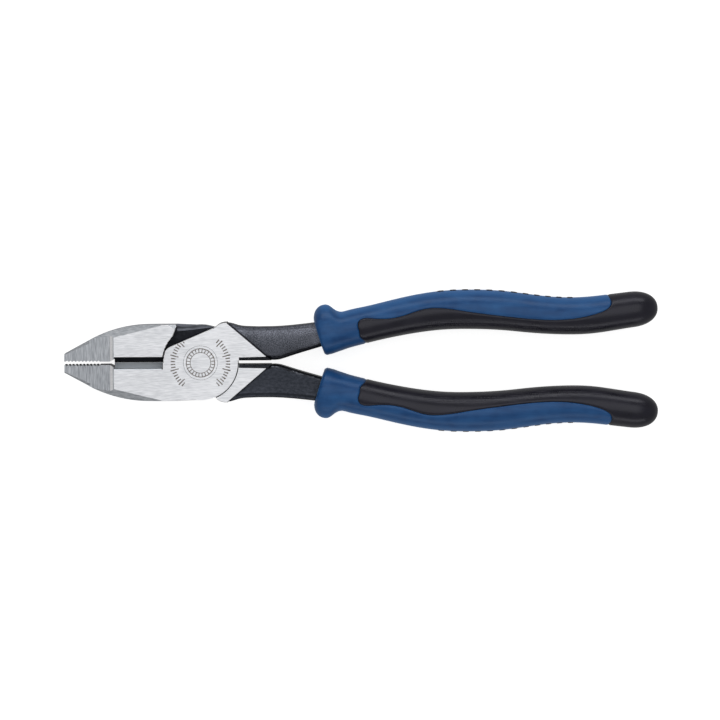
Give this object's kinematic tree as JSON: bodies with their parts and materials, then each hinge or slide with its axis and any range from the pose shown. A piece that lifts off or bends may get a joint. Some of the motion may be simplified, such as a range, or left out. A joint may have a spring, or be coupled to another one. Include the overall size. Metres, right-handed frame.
{
  "type": "lineman pliers",
  "caption": "High-leverage lineman pliers: two lapped steel halves on a flush rivet, square nose, side knives and curved two-shot moulded grips.",
  "frame": {"origin": "on the pivot axis, in the plane of the head's ground face that looks down", "axes": "+X from the pivot towards the handles, +Y across the tool towards the top half's handle, +Z along the pivot axis, up through the head's thickness"},
  "size_m": [0.2419, 0.0588, 0.0218],
  "materials": {
    "ground_steel": "ground bright on the flat faces, black forged skin on the tangs and in the lap",
    "rivet_steel": "ground flush with the head",
    "blue_plastic": "satin",
    "black_rubber": "matte"
  },
  "bodies": {
    "top_half": {"top_half": "ground_steel", "pivot_rivet": "rivet_steel", "top_grip_sleeve": "blue_plastic", "top_grip_overmould": "black_rubber"},
    "bottom_half": {"bottom_half": "ground_steel", "bottom_grip_sleeve": "blue_plastic", "bottom_grip_overmould": "black_rubber"}
  },
  "joints": [
    {"name": "handles_open", "type": "hinge", "parent": "top_half", "child": "bottom_half", "pos_m": [0, 0, 0.008], "axis": [0, 0, -1], "range_deg": [0, 33]}
  ]
}
